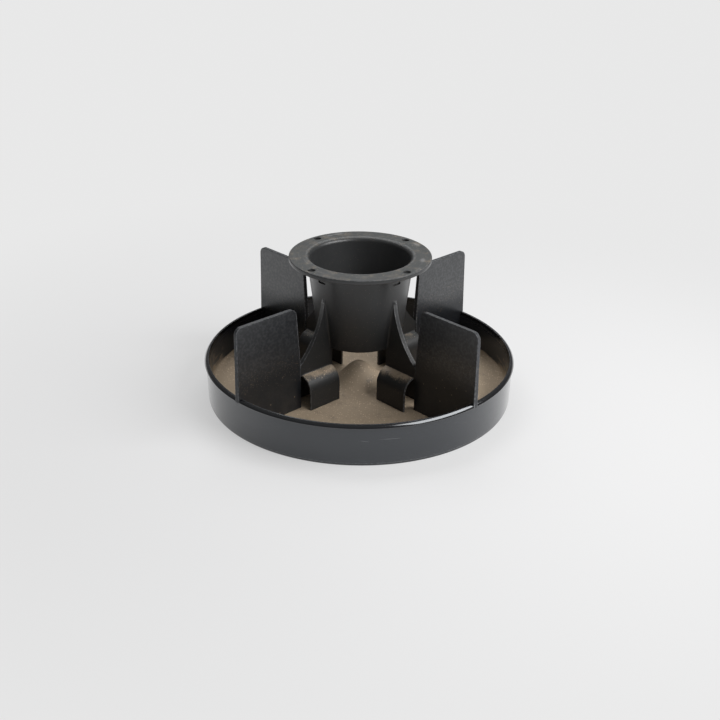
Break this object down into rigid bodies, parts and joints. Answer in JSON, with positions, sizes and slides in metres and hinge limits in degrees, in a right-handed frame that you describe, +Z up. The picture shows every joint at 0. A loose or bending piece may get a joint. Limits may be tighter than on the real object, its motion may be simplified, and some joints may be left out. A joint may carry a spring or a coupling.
{
  "type": "feed pan",
  "caption": "Round shallow feed pan with a flanged central spout on arched feet and upright dividers at the rim.",
  "frame": {"origin": "centre of the foot ring's underside, where the pan stands", "axes": "+Z up along the spout's axis; the dividers stand on the diagonals between X and Y, and one open bay faces -Y"},
  "size_m": [0.4, 0.4, 0.1868],
  "materials": {
    "pan_plastic": "black moulded plastic, polished outside, with fine scratches and a worn rim",
    "spout_plastic": "dark grey moulded plastic, satin, scuffed and dusted with feed",
    "divider_plastic": "dark grey moulded plastic, satin, with worn lighter edges",
    "zinc_steel": "zinc-plated steel"
  },
  "bodies": {
    "root": {"pan_tray": "pan_plastic", "feed_spout": "spout_plastic", "divider_front_left": "divider_plastic", "divider_front_right": "divider_plastic", "divider_rear_left": "divider_plastic", "divider_rear_right": "divider_plastic", "spout_screw_1": "zinc_steel", "spout_screw_2": "zinc_steel", "spout_screw_3": "zinc_steel", "spout_screw_4": "zinc_steel", "spout_washer_1": "zinc_steel", "spout_washer_2": "zinc_steel", "spout_washer_3": "zinc_steel", "spout_washer_4": "zinc_steel", "divider_screw_1": "zinc_steel", "divider_screw_2": "zinc_steel", "divider_screw_3": "zinc_steel", "divider_screw_4": "zinc_steel", "divider_screw_5": "zinc_steel", "divider_screw_6": "zinc_steel", "divider_screw_7": "zinc_steel", "divider_screw_8": "zinc_steel", "divider_washer_1": "zinc_steel", "divider_washer_2": "zinc_steel", "divider_washer_3": "zinc_steel", "divider_washer_4": "zinc_steel", "divider_washer_5": "zinc_steel", "divider_washer_6": "zinc_steel", "divider_washer_7": "zinc_steel", "divider_washer_8": "zinc_steel"}
  },
  "joints": []
}
